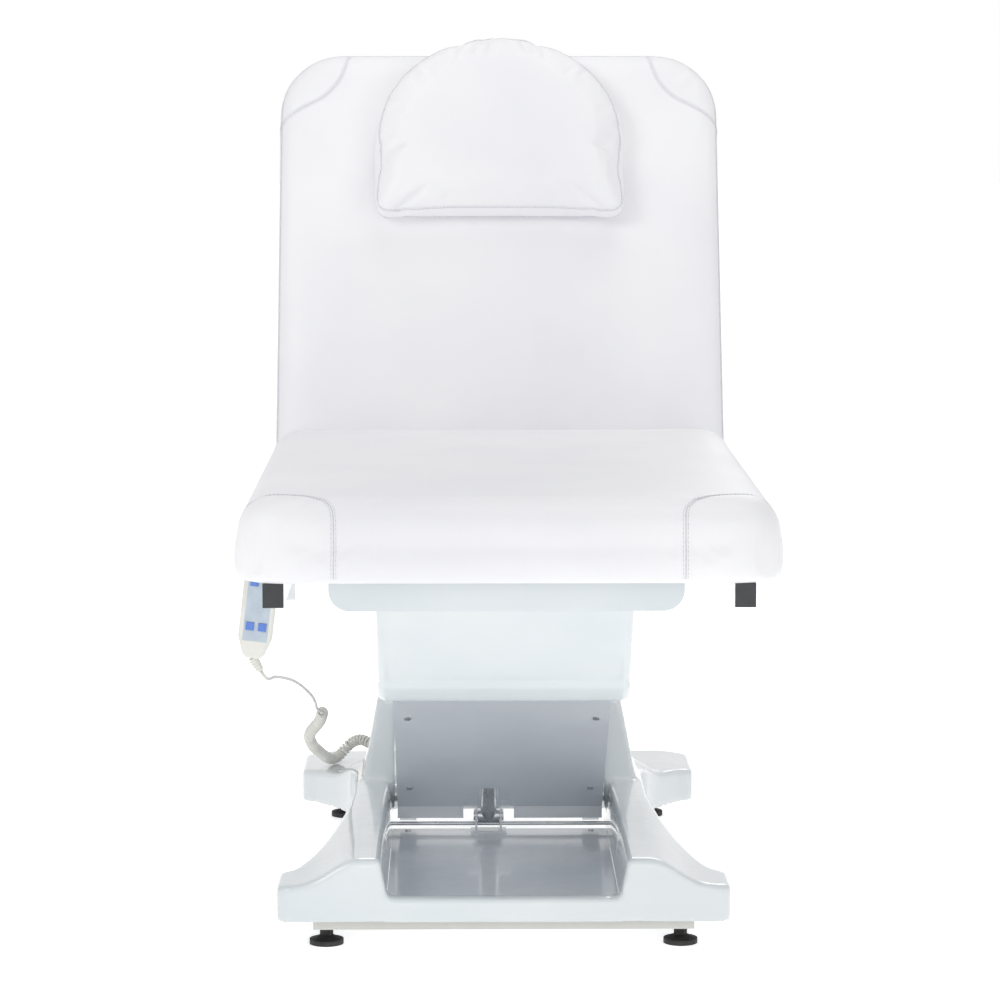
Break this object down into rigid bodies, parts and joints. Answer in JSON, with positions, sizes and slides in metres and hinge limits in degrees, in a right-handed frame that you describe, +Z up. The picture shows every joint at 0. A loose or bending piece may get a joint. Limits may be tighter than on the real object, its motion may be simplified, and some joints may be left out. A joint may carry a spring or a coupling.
{
  "type": "facial treatment bed",
  "caption": "Electric facial treatment bed with a flat seat cushion, reclining backrest with a half-moon pillow, parallel-arm lift on an H-shaped base, and a wired handset.",
  "frame": {"origin": "middle of the footprint at floor level, under the middle of the box around the whole bed without the handset's cord", "axes": "+Y from the foot end of the seat to the head end, along the bed's longest side; +X to the right hand of someone who stands at the foot end and looks at the backrest; +Z up"},
  "size_m": [0.8088, 1.782, 1.4889],
  "materials": {
    "upholstery": "satin",
    "cover": "gloss",
    "white_steel": "gloss",
    "cream_steel": "satin",
    "zinc": "satin",
    "black_plastic": "satin",
    "black_rubber": "matte",
    "cream_plastic": "satin",
    "key_panel": "satin",
    "blue_keys": "satin",
    "plywood": "matte",
    "black_metal": "satin"
  },
  "bodies": {
    "base": {"chassis_frame": "cream_steel", "base_cover": "cover", "base_tray": "white_steel", "tray_screws": "zinc", "foot_lock_nuts": "zinc", "arm_pivot_shaft": "zinc", "link_pivot_shaft": "zinc", "actuator_clevis": "white_steel", "clevis_pin": "zinc", "cross_rod": "zinc", "control_box": "black_plastic", "mains_inlet": "black_plastic", "cord_socket": "black_plastic", "handset_lead": "cream_plastic", "handset_coil": "cream_plastic"},
    "front_left_foot": {"foot_front_left": "black_rubber"},
    "front_right_foot": {"foot_front_right": "black_rubber"},
    "rear_left_foot": {"foot_rear_left": "black_rubber"},
    "rear_right_foot": {"foot_rear_right": "black_rubber"},
    "arm": {"lift_arm": "white_steel", "arm_cover_plate": "white_steel", "arm_plate_screws": "zinc", "arm_bushes": "zinc"},
    "links": {"link_left": "white_steel", "link_right": "white_steel", "link_bushes": "zinc"},
    "carriage": {"carriage_ears": "white_steel", "carriage_pins": "zinc", "lift_shroud": "cover", "seat_pan": "cover", "seat_frame": "white_steel", "tube_end_caps": "black_plastic", "seat_board": "plywood", "seat_cushion": "upholstery", "seat_bolts": "zinc", "handset_hook": "zinc", "actuator_brackets": "white_steel", "hinge_arms": "white_steel", "hinge_pins": "zinc", "back_rear_pin": "zinc"},
    "lift_piston": {"lift_rod": "zinc"},
    "lift_actuator": {"lift_tube": "black_metal", "lift_motor_unit": "black_plastic", "lift_top_pin": "zinc"},
    "backrest": {"backrest_frame": "white_steel", "backrest_board": "plywood", "backrest_cushion": "upholstery", "backrest_bolts": "zinc"},
    "back_actuator": {"back_tube": "black_metal", "back_motor_unit": "black_plastic"},
    "back_piston": {"back_rod": "zinc", "back_fork_pin": "zinc"},
    "head_pillow": {"pillow": "upholstery"},
    "handset": {"handset_shell": "cream_plastic", "handset_face": "key_panel", "handset_strain_relief": "cream_plastic"},
    "key_up": {"button_up": "blue_keys"},
    "key_down": {"button_down": "blue_keys"},
    "key_back_up": {"button_back_up": "blue_keys"},
    "key_back_down": {"button_back_down": "blue_keys"}
  },
  "joints": [
    {"name": "front_left_foot_level", "type": "slide", "parent": "base", "child": "front_left_foot", "axis": [0, 0, 1], "range_m": [-0.012, 0]},
    {"name": "front_right_foot_level", "type": "slide", "parent": "base", "child": "front_right_foot", "axis": [0, 0, 1], "range_m": [-0.012, 0]},
    {"name": "rear_left_foot_level", "type": "slide", "parent": "base", "child": "rear_left_foot", "axis": [0, 0, 1], "range_m": [-0.012, 0]},
    {"name": "rear_right_foot_level", "type": "slide", "parent": "base", "child": "rear_right_foot", "axis": [0, 0, 1], "range_m": [-0.012, 0]},
    {"name": "lift", "type": "hinge", "parent": "base", "child": "arm", "pos_m": [0, 0.43, 0.12], "axis": [-1, 0, 0], "range_deg": [-25, 20], "deforming": ["handset_lead", "handset_coil"]},
    {"name": "link_swing", "type": "hinge", "parent": "base", "child": "links", "pos_m": [0, 0.52, 0.235], "axis": [-1, 0, 0], "range_deg": [-26, 21]},
    {"name": "carriage_level", "type": "hinge", "parent": "arm", "child": "carriage", "pos_m": [0, -0.05786, 0.46927], "axis": [-1, 0, 0], "range_deg": [-21, 26]},
    {"name": "lift_piston_swing", "type": "hinge", "parent": "base", "child": "lift_piston", "pos_m": [-0.02, 0.385, 0.09], "axis": [-1, 0, 0], "range_deg": [-22, 18]},
    {"name": "lift_stroke", "type": "slide", "parent": "lift_piston", "child": "lift_actuator", "axis": [0, -0.6623, 0.7492], "range_m": [-0.061, 0.049]},
    {"name": "backrest_recline", "type": "hinge", "parent": "carriage", "child": "backrest", "pos_m": [0, 0.327, 0.706], "axis": [1, 0, 0], "range_deg": [-67, 8]},
    {"name": "back_actuator_swing", "type": "hinge", "parent": "carriage", "child": "back_actuator", "pos_m": [0.11, -0.25, 0.6305], "axis": [1, 0, 0], "range_deg": [-1.2, 0.4]},
    {"name": "back_stroke", "type": "slide", "parent": "back_actuator", "child": "back_piston", "axis": [0, 1, 0], "range_m": [-0.101, 0.013]},
    {"name": "pillow_lift_off", "type": "slide", "parent": "backrest", "child": "head_pillow", "axis": [0, -0.9205, 0.3907], "range_m": [0, 0.15]},
    {"name": "handset_lift_off", "type": "slide", "parent": "carriage", "child": "handset", "axis": [0, 0, 1], "range_m": [0, 0.005]},
    {"name": "key_up_press", "type": "slide", "parent": "handset", "child": "key_up", "axis": [0, 1, 0], "range_m": [0, 0.001], "stiffness_N_per_m": 500, "springref_m": -0.001},
    {"name": "key_down_press", "type": "slide", "parent": "handset", "child": "key_down", "axis": [0, 1, 0], "range_m": [0, 0.001], "stiffness_N_per_m": 500, "springref_m": -0.001},
    {"name": "key_back_up_press", "type": "slide", "parent": "handset", "child": "key_back_up", "axis": [0, 1, 0], "range_m": [0, 0.001], "stiffness_N_per_m": 500, "springref_m": -0.001},
    {"name": "key_back_down_press", "type": "slide", "parent": "handset", "child": "key_back_down", "axis": [0, 1, 0], "range_m": [0, 0.001], "stiffness_N_per_m": 500, "springref_m": -0.001}
  ],
  "couplings": [
    {"joint": "link_swing", "follows": "lift", "ratio": 1},
    {"joint": "carriage_level", "follows": "lift", "ratio": -1},
    {"joint": "lift_piston_swing", "follows": "lift", "ratio": 0.836},
    {"joint": "lift_stroke", "follows": "lift", "m_per_rad": 0.1364},
    {"joint": "back_actuator_swing", "follows": "backrest_recline", "ratio": 0.015},
    {"joint": "back_stroke", "follows": "backrest_recline", "m_per_rad": 0.0851}
  ]
}
